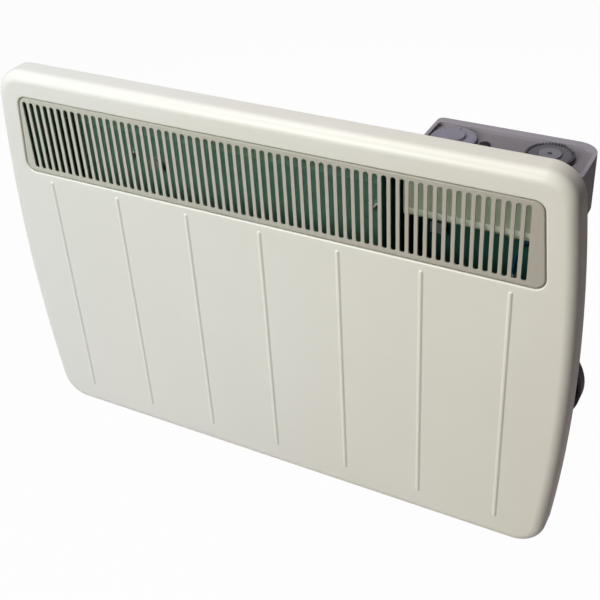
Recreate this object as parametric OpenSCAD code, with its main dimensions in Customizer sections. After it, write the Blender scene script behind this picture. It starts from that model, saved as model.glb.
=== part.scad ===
// Wall-hung panel convector heater with a grilled front casing, a finned element and a timed control box.
// The wall is the plane Y = 0, the front faces -Y, and X = 0 and Z = 0 are the casing's middle.

/* [Casing] */
// Width of the front casing at mid height, where its bowed sides stand widest
casing_w = 626; // [600:1:700]
// Height of the front casing
casing_h = 430; // [420:1:470]
// Depth of the front casing, from its face to its rear edge
casing_d = 28; // [24:1:38]
// Distance from the front face to the wall
total_d = 108; // [106:1:120]
// How far each side bows out at mid height
side_bow = 13.8; // [8:0.1:16]
// Radius of the casing's four corners
corner_r = 32; // [26:1:40]
// Radius of the rolled front edge
edge_r = 11.5; // [8:0.5:14]
// Thickness of the casing's sheet steel
casing_t = 1.2; // [0.8:0.1:1.6]
// Width of the folded lip round the casing's rear edge
lip_w = 12; // [10:0.5:14]

/* [Ribs] */
// Number of pressed ribs on the front
rib_n = 7; // [3:1:7]
// Distance between two ribs
rib_pitch = 84.1; // [70:0.1:88]
// Radius of a rib's rounded section
rib_r = 2.5; // [2:0.1:3]
// Height of a rib above the front face
rib_proud = 1.2; // [0.8:0.1:1.4]
// Distance from the casing's bottom edge to the foot of the ribs
rib_foot = 29; // [24:1:40]
// Distance from the top of the ribs to the grille opening
rib_head = 7; // [5:1:14]

/* [Outlet grille] */
// Distance from the casing's bowed side to the grille opening, whose ends lean with it
grille_side = 26.5; // [24:0.5:34]
// Distance from the casing's top to the grille opening
grille_top = 26; // [24:1:34]
// Height of the grille opening
grille_h = 87; // [84:1:92]
// Corner radius of the grille opening
grille_r = 11; // [8:0.5:13]
// Visible gap between the grille and the casing
grille_gap = 1; // [0.6:0.1:1.4]
// Depth of the grille's face behind the front face
grille_recess = 0.8; // [0.4:0.1:1.1]
// Thickness of the grille
grille_t = 1.5; // [1.2:0.1:1.8]
// Distance between two slots
slot_pitch = 8.7; // [8.2:0.1:9.6]
// Width of a slot
slot_w = 4.9; // [4:0.1:5.4]
// Length of a slot
slot_l = 75.4; // [70:0.1:77]
// Distance between the grille's middle and the middle of its row of slots
slot_shift = 3; // [0:0.1:4]

/* [Back panel and heating duct] */
// Thickness of the back panel's sheet steel
sheet_t = 1; // [0.8:0.1:1.2]
// Distance from the casing's side to the back panel's tray
tray_side = 26; // [24:1:32]
// Distance from the casing's bottom to the tray's foot
tray_foot = 19; // [16:1:24]
// Distance from the casing's top to the tray's top
tray_top = 47; // [44:1:56]
// Distance from the wall to the tray's back
stand_off = 40; // [38:1:44]
// Radius of the curved outlet deflector
deflector_r = 34; // [24:1:34]
// Distance between the heat shield and the casing's face
shield_gap = 5; // [4:0.5:7]
// Depth of the shield round the control bay
bay_d = 8.8; // [5:0.2:12]

/* [Heating element] */
// Radius of the sheathed element's tube
sheath_r = 4; // [3.5:0.1:4.5]
// Distance between the element's two legs
leg_gap = 28; // [26:1:32]
// Height of the element's middle above the casing's bottom
element_z = 65; // [60:1:75]
// Distance from the element's brackets to the first fin
fin_margin = 24; // [16:1:60]
// Distance between two fins
fin_pitch = 9.6; // [8:0.1:9.6]
// Thickness of a fin
fin_t = 0.8; // [0.5:0.1:1.2]
// Height of a fin
fin_h = 58; // [52:1:60]
// Depth of a fin
fin_d = 26; // [20:1:28]

/* [Control housing] */
// Width of the control housing
housing_w = 152; // [150:1:160]
// Depth of the control housing, from the wall
housing_d = 62; // [60:1:64]
// Height of the control housing
housing_h = 54; // [48:1:56]
// Distance from the casing's side to the housing's side
housing_side = 20; // [16:1:24]
// Distance from the casing's top to the housing's rim
housing_drop = 23; // [20:1:28]
// Thickness of the housing's walls
housing_t = 2.2; // [1.8:0.1:2.6]
// Radius of the housing's outer rear corner
housing_r = 20; // [14:1:22]
// Width of the rim behind the control panel
rim_rear = 9; // [8:0.5:12]
// Depth of the control panel below the rim
panel_drop = 3.5; // [2.5:0.1:4.5]
// Thickness of the control panel
panel_t = 2.4; // [2:0.1:3]

/* [Dials and button] */
// Radius of the two dials
dial_r = 21.5; // [18:0.1:21.5]
// Distance from the housing's left side to the thermostat dial's axis
thermostat_side = 26.5; // [26:0.5:32]
// Distance from the housing's right side to the timer dial's axis
timer_side = 37; // [35:1:42]
// Radius of the dials' spindles
spindle_r = 3; // [2.5:0.1:3.5]
// Radial play of a spindle in its bush
spindle_play = 0.06; // [0.02:0.01:0.1]
// Number of switching segments on the timer dial
tappet_n = 48; // [24:24:96]
// Radius of the push button
button_r = 4.8; // [4:0.1:5]
// Travel of the push button
button_travel = 2; // [1:0.1:2]

/* [Cable inlet] */
// Radius of the cable gland's bore
gland_bore_r = 4.2; // [3.5:0.1:4.5]
// Length of the cable gland below the housing
gland_l = 12; // [8:1:16]

/* [Wall bracket] */
// Distance between the two uprights, which is also the width of the hole pattern
bracket_w = 320; // [280:1:340]
// Height of the hole pattern
bracket_hole_h = 180; // [160:1:190]
// Radius of the wall fixing holes
bracket_hole_r = 3; // [2.5:0.1:3.5]
// Width of an upright
upright_w = 36; // [30:1:40]
// Length of an upright below and above the middle
upright_half = 112; // [104:1:116]
// Thickness of the bracket's steel
bracket_t = 1.5; // [1.2:0.1:2]
// Radius of the rounded wall spacers
spacer_r = 54; // [48:1:60]
// Height of the spacers' middle above the casing's bottom
spacer_z = 138; // [130:1:150]
// Distance from the casing's side to the spacer's edge
spacer_side = 9; // [6:0.5:12]
// Depth of the spacer's dished edge
spacer_d = 14; // [10:1:20]

/* [Hidden] */

$fn = 48;
skin = 0.01;
cut = 1;
fit_gap = 0.3;
face_gap = 0.05;
screw_r = 1.75;
screw_hole_r = 1.85;
screw_head_r = 3.4;
screw_head_h = 2;

half_w = casing_w / 2;
half_h = casing_h / 2;
front_y = -total_d;
rear_y = front_y + casing_d;
inner_y = front_y + casing_t;
lip_y = rear_y - casing_t;

side_steps = 5;
corner_steps = 10;
edge_steps = 8;
bow_r = (half_h * half_h + side_bow * side_bow) / (2 * side_bow);
bow_x = half_w - bow_r;
corner_z = half_h - corner_r;
corner_a = asin(corner_z / (bow_r - corner_r));
corner_x = bow_x + (bow_r - corner_r) * cos(corner_a);

grille_z = half_h - grille_top - grille_h / 2;
grille_x0 = side_x(grille_z - grille_h / 2) - grille_side;
grille_x1 = side_x(grille_z + grille_h / 2) - grille_side;
grille_lean = atan((grille_x0 - grille_x1) / grille_h);
grille_y = front_y + grille_recess;
grille_edge = 2.2;
grille_flange = 8;
slot_margin = 8.5;
slot_n = floor(2 * (grille_x1 - slot_margin) / slot_pitch) + 1;

rib_z0 = -half_h + rib_foot;
rib_z1 = grille_z - grille_h / 2 - rib_head;

tray_x = half_w - tray_side;
tray_z0 = -half_h + tray_foot;
tray_z1 = half_h - tray_top;
tray_y = -stand_off;
tray_in_y = tray_y - sheet_t;
flange_y = lip_y - sheet_t;
flange_inset = casing_t + fit_gap;

housing_x1 = half_w - housing_side;
housing_x0 = housing_x1 - housing_w;
housing_z1 = half_h - housing_drop;
housing_z0 = housing_z1 - housing_h;
housing_y = -housing_d;
notch_x = housing_x0 - fit_gap;
rim_side = 3.5;
rim_front = 4;
ledge = 2;
panel_x0 = housing_x0 + rim_side;
panel_x1 = housing_x1 - rim_side;
panel_y0 = housing_y + rim_front;
panel_y1 = -rim_rear;
panel_z1 = housing_z1 - panel_drop;
panel_z0 = panel_z1 - panel_t;
panel_corner_r = 5;
neck_in = 8;
neck_h = 40;

dial_y = (panel_y0 + panel_y1) / 2;
timer_x = housing_x1 - timer_side;
thermostat_x = housing_x0 + thermostat_side;
button_gap = 3;
button_x = thermostat_x + dial_r + button_gap + button_r;
dial_z0 = panel_z1 + 0.4;
dial_skirt_h = 3.4;
dial_top_z = dial_z0 + dial_skirt_h;
hub_r = 10;
hub_h = 2.4;
spindle_l = 20;
body_w = 37;
body_d = 37;
body_h = 30;
bush_depth = 24;
tappet_w = 2.3;
tappet_flange_h = 1;
tappet_h = 3;
tappet_push = 1.4;
button_proud = 3.2;
button_flange_r = button_r + 1.6;
button_flange_h = 1.6;
plunger_r = 1.5;
plunger_l = 5;
switch_w = 2 * button_flange_r + 4.4;
switch_d = 13;
switch_h = 20;
switch_post = 1.8;

element_mid_z = -half_h + element_z;
element_y = (rear_y - 4 + tray_y) / 2;
bracket_side = 53;
bracket_x = tray_x - bracket_side;
fin_n = floor(2 * (bracket_x - fin_margin) / fin_pitch) + 1;
cold_end_l = 32;
element_end_x = bracket_x + cold_end_l;
bush_r = 6;
bush_collar_r = 8;

cutout_side = 52;
cutout_drop = 88;
cutout_x = tray_x - cutout_side;
cutout_z = housing_z0 - cutout_drop;
cutout_r = 9;
cutout_h = 9;
block_side = 34;
block_x = tray_x - block_side;
block_w = 40;
terminal_pitch = 13;
block_d = 16;
block_h = 19;
block_z0 = housing_z0 - sheet_t - block_h;
block_y = -52;
wire_r = 1.5;
stud_side = 35;
stud_drop = 26;
stud_x = block_x - stud_side;
stud_z = housing_z0 - stud_drop;
lead_side = 9;
lead_y = tray_in_y - 22;

hook_z = 96;
hook_w = 16;
hook_reach = 6;
hook_up = 11;
upright_x = bracket_w / 2;
rail_h = 24;
rail_z = 72;
spacer_x = half_w - spacer_side - spacer_r;
spacer_mid_z = -half_h + spacer_z;
spacer_t = 3;

hanger_left = 96.5;
hanger_right = 46.5;
hanger_drop = 29.5;
hanger_x = [-tray_x + hanger_left, notch_x - hanger_right];
hanger_z = housing_z0 - hanger_drop;

top_screw_side = 108.5;
side_screw_drop = 115;
top_screw_x = half_w - top_screw_side;
side_screw_z = half_h - side_screw_drop;
side_screw_x = side_x(side_screw_z) - lip_w / 2;
screw_xz = [
    for (sx = [-1, 1], sz = [-1, 1]) each [
        [sx * top_screw_x, sz * (half_h - lip_w / 2)],
        [sx * side_screw_x, sz * side_screw_z]
    ]
];
housing_screw_side = 20;
housing_screw_gap = 17;
housing_screw_x = [housing_x0 + housing_screw_side, block_x - block_w / 2 - housing_screw_gap];
housing_screw_y = -53;
gland_side = 60;
gland_x = housing_x1 - gland_side;
gland_y = -22;
gland_r = 7;

// Half width of the casing at a height
function side_x(z) = bow_x + sqrt(bow_r * bow_r - z * z);

function arc(cx, cy, r, a0, a1, n) = [
    for (k = [0:n]) let (a = a0 + (a1 - a0) * k / n) [cx + r * cos(a), cy + r * sin(a)]
];

// One quarter of the casing's front outline, drawn in by an inset
function casing_quarter(inset) = concat(
    [for (k = [0:side_steps - 1]) let (a = corner_a * k / side_steps)
        [bow_x + (bow_r - inset) * cos(a), (bow_r - inset) * sin(a)]],
    arc(corner_x, corner_z, corner_r - inset, corner_a, 90, corner_steps)
);

function flip_x(p) = [for (k = [len(p) - 1:-1:0]) [-p[k][0], p[k][1]]];

function casing_outline(inset) =
    let (q = casing_quarter(inset), top = concat(q, flip_x(q)), n = len(top))
    concat(top, [for (k = [n - 2:-1:1]) [top[k][0], -top[k][1]]]);

// Outline of the grille opening, drawn in by an inset
function grille_outline(inset) =
    let (r = grille_r - inset,
        low = grille_z - grille_h / 2 + grille_r,
        high = grille_z + grille_h / 2 - grille_r,
        side = grille_r / cos(grille_lean),
        right = concat(
            arc(grille_x0 - grille_r * tan(grille_lean) - side, low, r, -90, grille_lean, 8),
            arc(grille_x1 + grille_r * tan(grille_lean) - side, high, r, grille_lean, 90, 8)))
    concat(right, flip_x(right));

// Rectangle with its own radius at each corner: rear right, rear left, front left, front right
function round_box(x0, y0, x1, y1, ra, rb, rc, rd) = concat(
    arc(x1 - ra, y1 - ra, ra, 0, 90, 8),
    arc(x0 + rb, y1 - rb, rb, 90, 180, 8),
    arc(x0 + rc, y0 + rc, rc, 180, 270, 8),
    arc(x1 - rd, y0 + rd, rd, 270, 360, 8)
);

function unit(v) = v / norm(v);

function spline(a, b, c, d, t) =
    0.5 * (2 * b + (c - a) * t + (2 * a - 5 * b + 4 * c - d) * t * t + (3 * b - a - 3 * c + d) * t * t * t);

function smooth_path(p, n) = concat(
    [for (i = [0:len(p) - 2]) for (k = [0:n - 1])
        spline(p[max(i - 1, 0)], p[i], p[i + 1], p[min(i + 2, len(p) - 1)], k / n)],
    [p[len(p) - 1]]
);

// Extrudes a shape drawn in X and Z from one depth to another
module along_y(y0, y1) {
    translate([0, y1, 0])
        rotate([90, 0, 0])
            linear_extrude(y1 - y0)
                children();
}

module rounded_rect(w, h, r) {
    square([w - 2 * r, h], center = true);
    square([w, h - 2 * r], center = true);
    for (sx = [-1, 1], sy = [-1, 1])
        translate([sx * (w / 2 - r), sy * (h / 2 - r)])
            circle(r);
}

module slot(w, l) {
    square([w, l - w], center = true);
    for (s = [-1, 1])
        translate([0, s * (l - w) / 2])
            circle(w / 2);
}

// Upright round bar with round ends
module capsule(l, r) {
    rotate_extrude()
        intersection() {
            slot(2 * r, l);
            translate([0, -l])
                square([2 * r, 2 * l]);
        }
}

// Round tube swept along a path
module wire(points, r, sides = 8) {
    path = smooth_path(points, 4);
    n = len(path);
    rings = [for (i = [0:n - 1])
        let (t = unit(path[min(i + 1, n - 1)] - path[max(i - 1, 0)]),
            u = unit(cross(t, [0, 1, 0.02])), v = cross(t, u))
        for (k = [0:sides - 1]) path[i] + r * (u * cos(360 * k / sides) + v * sin(360 * k / sides))];
    walls = [for (i = [0:n - 2], k = [0:sides - 1])
        let (a = i * sides + k, b = i * sides + (k + 1) % sides) each [[a, a + sides, b + sides], [a, b + sides, b]]];
    ends = [[for (k = [0:sides - 1]) k], [for (k = [sides - 1:-1:0]) (n - 1) * sides + k]];
    polyhedron(rings, concat(walls, ends), convexity = 6);
}

// Bowed and rolled pressing of the casing, drawn in by an inset
module casing_form(inset, y_end) {
    r = edge_r - inset;
    hull() {
        for (k = [0:edge_steps]) {
            a = 90 * k / edge_steps;
            y = front_y + inset + r * (1 - cos(a));
            along_y(y, y + skin)
                polygon(casing_outline(inset + r * (1 - sin(a))));
        }
        along_y(y_end - skin, y_end)
            polygon(casing_outline(inset));
    }
}

module ribs(r) {
    rib_l = rib_z1 - rib_z0 - 2 * (rib_r - r);
    for (k = [0:rib_n - 1])
        translate([(k - (rib_n - 1) / 2) * rib_pitch, front_y + rib_r - rib_proud, (rib_z0 + rib_z1) / 2])
            capsule(rib_l, r);
}

module casing_screw_holes() {
    for (p = screw_xz)
        translate([p[0], 0, p[1]])
            along_y(flange_y - cut, rear_y + cut)
                circle(screw_hole_r);
}

module front_casing() {
    color([0.88, 0.88, 0.85])
        difference() {
            union() {
                casing_form(0, rear_y);
                ribs(rib_r);
            }
            casing_form(casing_t, lip_y);
            ribs(rib_r - casing_t);
            along_y(lip_y - cut, rear_y + cut)
                polygon(casing_outline(lip_w));
            along_y(front_y - cut, inner_y + cut)
                polygon(grille_outline(0));
            casing_screw_holes();
        }
}

module slot_row() {
    for (k = [0:slot_n - 1])
        translate([(k - (slot_n - 1) / 2) * slot_pitch - slot_shift, grille_z])
            slot(slot_w, slot_l);
}

module outlet_grille() {
    color([0.68, 0.68, 0.65]) {
        along_y(grille_y, grille_y + grille_t)
            difference() {
                polygon(grille_outline(grille_gap));
                slot_row();
            }
        along_y(inner_y, inner_y + grille_t)
            difference() {
                polygon(grille_outline(-grille_flange));
                polygon(grille_outline(grille_gap + grille_edge));
            }
    }
}

// Outline of the tray, with a notch for the control housing, drawn in by an inset
module tray_shape(inset, foot) {
    x1 = tray_x - inset;
    z1 = tray_z1 - inset;
    polygon([
        [-x1, foot], [x1, foot], [x1, housing_z0 - inset], [notch_x - inset, housing_z0 - inset],
        [notch_x - inset, z1], [-x1, z1]
    ]);
}

module back_panel() {
    color([0.55, 0.6, 0.56])
        difference() {
            union() {
                along_y(flange_y, lip_y)
                    polygon(casing_outline(flange_inset));
                along_y(flange_y, tray_y)
                    tray_shape(0, tray_z0);
            }
            along_y(flange_y - cut, tray_in_y)
                tray_shape(sheet_t, tray_z0 - sheet_t);
            casing_screw_holes();
            for (s = [-1, 1])
                translate([s * upright_x - hook_w / 2 - 1, tray_in_y - cut, hook_z - 1])
                    cube([hook_w + 2, sheet_t + 2 * cut, hook_up + 3]);
            for (x = housing_screw_x)
                translate([x, housing_screw_y, housing_z0 - 2 * sheet_t])
                    cylinder(h = 3 * sheet_t, r = screw_hole_r);
            translate([block_x, block_y, housing_z0 - 2 * sheet_t])
                cylinder(h = 3 * sheet_t, r = 4);
        }
}

module inlet_guard() {
    l = 2 * (tray_x - sheet_t);
    pitch = 12.4;
    n = floor((l - 24) / pitch);
    y0 = flange_y;
    color([0.5, 0.54, 0.51])
        translate([0, 0, tray_z0])
            linear_extrude(sheet_t)
                difference() {
                    translate([-l / 2, y0])
                        square([l, tray_in_y - y0]);
                    for (k = [0:n - 1])
                        translate([(k - (n - 1) / 2) * pitch, (y0 + tray_in_y) / 2])
                            slot(7, tray_in_y - y0 - 10);
                }
}

module heat_shield() {
    x1 = tray_x + 3;
    z0 = tray_z0 + 8;
    z1 = grille_z - grille_h / 2 - 2 * grille_flange + 8;
    y0 = front_y + shield_gap;
    color([0.62, 0.64, 0.62]) {
        translate([-x1, y0, z0])
            cube([2 * x1, sheet_t, z1 - z0]);
        for (s = [-1, 1])
            translate([s * (x1 - sheet_t / 2) - sheet_t / 2, y0, z0])
                cube([sheet_t, flange_y - y0, z1 - z0]);
    }
}

module outlet_deflector() {
    y = tray_in_y - deflector_r;
    z = tray_z1 - sheet_t - deflector_r;
    x0 = -tray_x + sheet_t;
    color([0.6, 0.63, 0.6])
        translate([x0, y, z])
            rotate([90, 0, 90])
                linear_extrude(notch_x - sheet_t - x0)
                    intersection() {
                        difference() {
                            circle(deflector_r);
                            circle(deflector_r - sheet_t);
                        }
                        square(deflector_r + cut);
                    }
}

module control_bay_shield() {
    x0 = notch_x + 3;
    x1 = housing_x1 - 12;
    z0 = housing_z0 + 1.5;
    z1 = half_h - 15;
    y0 = flange_y - bay_d;
    color([0.66, 0.68, 0.66]) {
        translate([x0, y0, z0])
            cube([x1 - x0, sheet_t, z1 - z0]);
        for (x = [x0, x1 - sheet_t])
            translate([x, y0, z0])
                cube([sheet_t, bay_d, z1 - z0]);
        translate([x0, y0, z0])
            cube([x1 - x0, bay_d, sheet_t]);
    }
}

module element_sheath() {
    leg_l = element_end_x + bracket_x + 6;
    color([0.35, 0.34, 0.33]) {
        for (s = [-1, 1])
            translate([-bracket_x - 6, element_y, element_mid_z + s * leg_gap / 2])
                rotate([0, 90, 0])
                    cylinder(h = leg_l, r = sheath_r);
        translate([-bracket_x - 6, element_y, element_mid_z])
            rotate([90, -90, 0])
                rotate_extrude(angle = 180)
                    translate([leg_gap / 2, 0])
                        circle(sheath_r);
    }
}

module fin_outline() {
    difference() {
        rounded_rect(fin_h, fin_d, 4);
        for (s = [-1, 1])
            translate([s * leg_gap / 2, 0])
                circle(sheath_r + face_gap);
    }
}

module element_fins() {
    color([0.75, 0.76, 0.77])
        for (k = [0:fin_n - 1])
            translate([(k - (fin_n - 1) / 2) * fin_pitch - fin_t / 2, element_y, element_mid_z])
                rotate([0, 90, 0])
                    linear_extrude(fin_t)
                        fin_outline();
}

// Folded plate that carries the element's two legs on the tray's back
module element_bracket(x, hole_r) {
    y0 = element_y - fin_d / 2 - 3;
    z0 = element_mid_z - fin_h / 2 - 6;
    foot = 16;
    difference() {
        union() {
            translate([x - sheet_t / 2, y0, z0])
                cube([sheet_t, tray_in_y - y0, fin_h + 12]);
            translate([x - sheet_t / 2, tray_in_y - sheet_t, z0])
                cube([foot, sheet_t, fin_h + 12]);
        }
        for (s = [-1, 1])
            translate([x - 2, element_y, element_mid_z + s * leg_gap / 2])
                rotate([0, 90, 0])
                    cylinder(h = 4, r = hole_r);
    }
}

module element_bracket_left() {
    color([0.62, 0.64, 0.62])
        element_bracket(-bracket_x, sheath_r + face_gap);
}

module element_bracket_right() {
    color([0.62, 0.64, 0.62])
        element_bracket(bracket_x, bush_r + face_gap);
}

module element_bushes() {
    color([0.92, 0.9, 0.84])
        for (s = [-1, 1])
            translate([bracket_x - 5, element_y, element_mid_z + s * leg_gap / 2])
                rotate([0, 90, 0])
                    difference() {
                        union() {
                            cylinder(h = 14, r = bush_r);
                            translate([0, 0, 5 + sheet_t / 2])
                                cylinder(h = 4, r = bush_collar_r);
                        }
                        translate([0, 0, -cut])
                            cylinder(h = 16, r = sheath_r + face_gap);
                    }
}

// Screws with nuts that show through the grille
module element_hangers() {
    nut_r = 5;
    nut_h = 3;
    stud_r = 2;
    stud_l = 9;
    color([0.72, 0.72, 0.7])
        for (x = hanger_x)
            translate([x, tray_in_y, hanger_z])
                rotate([90, 0, 0]) {
                    cylinder(h = nut_h, r = nut_r, $fn = 6);
                    cylinder(h = stud_l, r = stud_r);
                }
}

module thermal_cutout() {
    color([0.2, 0.19, 0.18])
        translate([cutout_x, tray_in_y, cutout_z])
            rotate([90, 0, 0]) {
                linear_extrude(1)
                    rounded_rect(32, 13, 6);
                cylinder(h = cutout_h, r = cutout_r);
                for (s = [-1, 1])
                    translate([s * 5 - 0.4, -2.5, cutout_h])
                        cube([0.8, 5, 6]);
            }
}

module terminal_block() {
    color([0.9, 0.89, 0.85])
        difference() {
            translate([block_x - block_w / 2, block_y - block_d / 2, block_z0])
                cube([block_w, block_d, block_h]);
            for (k = [-1, 0, 1])
                translate([block_x + k * terminal_pitch, block_y - block_d / 2 - cut, block_z0 + block_h / 2])
                    rotate([-90, 0, 0])
                        cylinder(h = 5, r = 3);
        }
}

module earth_stud() {
    color([0.8, 0.66, 0.35])
        translate([stud_x, tray_in_y, stud_z])
            rotate([90, 0, 0]) {
                cylinder(h = 2.5, r = 4.5, $fn = 6);
                cylinder(h = 8, r = 2);
            }
}

module wire_neutral() {
    color([0.1, 0.3, 0.7])
        wire([
            [block_x, block_y, block_z0 - fit_gap],
            [block_x - 1, block_y + 1, block_z0 - 14],
            [block_x - 8, block_y - 2, block_z0 - 30],
            [cutout_x + 7, tray_in_y - 2 * cutout_h - 1, cutout_z + 2 * cutout_h],
            [cutout_x + 5, tray_in_y - 2 * cutout_h, cutout_z]
        ], wire_r);
}

module wire_element() {
    top_z = element_mid_z + leg_gap / 2;
    color([0.12, 0.1, 0.1])
        wire([
            [cutout_x - 5, tray_in_y - 2 * cutout_h, cutout_z],
            [cutout_x - 5, lead_y, cutout_z - 2 * cutout_h],
            [(cutout_x + element_end_x) / 2, lead_y, (cutout_z + top_z) / 2],
            [element_end_x + lead_side, element_y - 2, top_z + 40],
            [element_end_x + 11, element_y, top_z + 12],
            [element_end_x + 6, element_y, top_z + 1],
            [element_end_x + fit_gap, element_y, top_z]
        ], wire_r);
}

module wire_live() {
    low_z = element_mid_z - leg_gap / 2;
    color([0.42, 0.22, 0.12])
        wire([
            [block_x + terminal_pitch, block_y, block_z0 - fit_gap],
            [block_x + terminal_pitch + 1, block_y + 1, block_z0 - block_h],
            [tray_x - 12, block_y + 3, cutout_z],
            [tray_x - lead_side, element_y + 10, (cutout_z + low_z) / 2],
            [tray_x - lead_side, element_y + 8, low_z + leg_gap],
            [element_end_x + 12, element_y + 2, low_z + 8],
            [element_end_x + 6, element_y, low_z + 1],
            [element_end_x + fit_gap, element_y, low_z]
        ], wire_r);
}

module wire_earth() {
    color([0.35, 0.6, 0.2])
        wire([
            [block_x - terminal_pitch, block_y, block_z0 - fit_gap],
            [block_x - terminal_pitch - 2, block_y, block_z0 - 5],
            [block_x - 21, block_y + 1, block_z0 - 7],
            [stud_x + 8, tray_in_y - 5, stud_z],
            [stud_x + 4, tray_in_y - 5, stud_z]
        ], wire_r);
}

module housing_shape(inset) {
    polygon(round_box(
        housing_x0 + inset, housing_y + inset, housing_x1 - inset, -inset,
        housing_r - inset, 6 - inset, 3 - inset / 2, 3 - inset / 2
    ));
}

module panel_shape(inset) {
    r = panel_corner_r - inset;
    polygon(round_box(
        panel_x0 + inset, panel_y0 + inset, panel_x1 - inset, panel_y1 - inset,
        r + 7, r, r, r
    ));
}

module control_housing() {
    neck_z = housing_z0 + 4;
    deck_z = panel_z0 - 2.5;
    color([0.58, 0.56, 0.58])
        difference() {
            union() {
                translate([0, 0, housing_z0])
                    linear_extrude(housing_h)
                        housing_shape(0);
                translate([housing_x0 + neck_in, lip_y, neck_z])
                    cube([housing_w - 4 * neck_in, -lip_y + housing_y + 1, neck_h]);
            }
            translate([0, 0, housing_z0 + housing_t])
                linear_extrude(deck_z - housing_z0 - housing_t)
                    housing_shape(housing_t);
            translate([0, 0, deck_z - cut])
                linear_extrude(housing_h)
                    panel_shape(ledge);
            translate([0, 0, panel_z0])
                linear_extrude(housing_h)
                    panel_shape(0);
            translate([gland_x, gland_y, housing_z0 - cut])
                cylinder(h = housing_t + 2 * cut, r = gland_r + face_gap);
            translate([block_x, block_y, housing_z0 - cut])
                cylinder(h = housing_t + 2 * cut, r = 4);
            for (x = housing_screw_x)
                translate([x, housing_screw_y, housing_z0 - cut])
                    cylinder(h = housing_t + 2 * cut, r = screw_hole_r);
        }
}

module control_panel() {
    color([0.62, 0.6, 0.62])
        difference() {
            translate([0, 0, panel_z0])
                linear_extrude(panel_t)
                    panel_shape(0.25);
            for (x = [thermostat_x, timer_x])
                translate([x, dial_y, panel_z0 - cut])
                    cylinder(h = panel_t + 2 * cut, r = spindle_r + spindle_play);
            translate([button_x, dial_y, panel_z0 - cut])
                cylinder(h = panel_t + 2 * cut, r = button_r + 0.1);
        }
}

// Body of a control below the panel, with the bush that its spindle turns in
module control_body(x, w) {
    difference() {
        translate([x - w / 2, dial_y - body_d / 2, panel_z0 - body_h])
            cube([w, body_d, body_h]);
        translate([x, dial_y, panel_z0 - bush_depth])
            cylinder(h = bush_depth + cut, r = spindle_r + spindle_play);
    }
}

module spindle(x) {
    translate([x, dial_y, dial_z0 - spindle_l])
        cylinder(h = spindle_l, r = spindle_r);
}

module thermostat_body() {
    color([0.25, 0.25, 0.26])
        control_body(thermostat_x, body_w - 6);
}

module thermostat_spindle() {
    color([0.75, 0.75, 0.76])
        spindle(thermostat_x);
}

module thermostat_dial() {
    color([0.6, 0.58, 0.62])
        translate([thermostat_x, dial_y, dial_z0]) {
            rotate_extrude()
                polygon([
                    [0, 0], [dial_r, 0], [dial_r, dial_skirt_h - 1.2], [dial_r - 1.2, dial_skirt_h],
                    [hub_r + 1, dial_skirt_h], [hub_r, dial_skirt_h + hub_h], [0, dial_skirt_h + hub_h]
                ]);
            translate([-0.8, hub_r - 1, dial_skirt_h - skin])
                cube([1.6, dial_r - hub_r - 1.5, 0.8]);
        }
}

module timer_body() {
    color([0.85, 0.84, 0.8])
        control_body(timer_x, body_w);
}

module timer_spindle() {
    color([0.75, 0.75, 0.76])
        spindle(timer_x);
}

module timer_dial() {
    core_r = dial_r - tappet_w - 0.2;
    color([0.7, 0.69, 0.72])
        translate([timer_x, dial_y, dial_z0])
            rotate_extrude()
                polygon([
                    [0, 0], [dial_r, 0], [dial_r, tappet_flange_h], [core_r, tappet_flange_h],
                    [core_r, dial_skirt_h - 0.4], [core_r - 0.6, dial_skirt_h], [hub_r + 0.8, dial_skirt_h],
                    [hub_r, dial_skirt_h + 1.2], [2.2, dial_skirt_h + 1.2], [2.2, dial_skirt_h + 0.4],
                    [0, dial_skirt_h + 0.4]
                ]);
}

// Switching segments, a run of which is pushed in for the heating hours
module timer_tappets() {
    step = 360 / tappet_n;
    r0 = dial_r - tappet_w;
    open = 0.18 * step;
    color([0.52, 0.5, 0.54])
        for (k = [0:tappet_n - 1]) {
            pushed = k % 24 > 4 && k % 24 < 10;
            translate([timer_x, dial_y, dial_z0 + tappet_flange_h])
                rotate([0, 0, k * step])
                    linear_extrude(pushed ? tappet_h - tappet_push : tappet_h)
                        polygon([
                            [r0 * cos(open), r0 * sin(open)], [dial_r * cos(open), dial_r * sin(open)],
                            [dial_r * cos(step - open), dial_r * sin(step - open)],
                            [r0 * cos(step - open), r0 * sin(step - open)]
                        ]);
        }
}

module push_button() {
    color([0.16, 0.12, 0.14])
        translate([button_x, dial_y, panel_z0 - 0.2 - button_flange_h])
            rotate_extrude()
                polygon([
                    [0, -plunger_l], [plunger_r, -plunger_l], [plunger_r, 0], [button_flange_r, 0],
                    [button_flange_r, button_flange_h], [button_r, button_flange_h],
                    [button_r, panel_t + button_flange_h + button_proud - 0.6],
                    [button_r - 0.8, panel_t + button_flange_h + button_proud], [0, panel_t + button_flange_h + button_proud]
                ]);
}

module button_switch() {
    top_z = panel_z0 - 0.2 - button_flange_h - button_travel - fit_gap;
    color([0.22, 0.22, 0.23])
        difference() {
            union() {
                translate([button_x - switch_w / 2, dial_y - switch_d / 2, top_z - switch_h])
                    cube([switch_w, switch_d, switch_h]);
                for (s = [-1, 1])
                    translate([button_x + s * (switch_w - switch_post) / 2 - switch_post / 2, dial_y - switch_d / 2, top_z - cut])
                        cube([switch_post, switch_d, panel_z0 - top_z + cut]);
            }
            translate([button_x, dial_y, top_z - plunger_l - 2])
                cylinder(h = plunger_l + 3, r = plunger_r + 0.08);
        }
}

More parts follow.
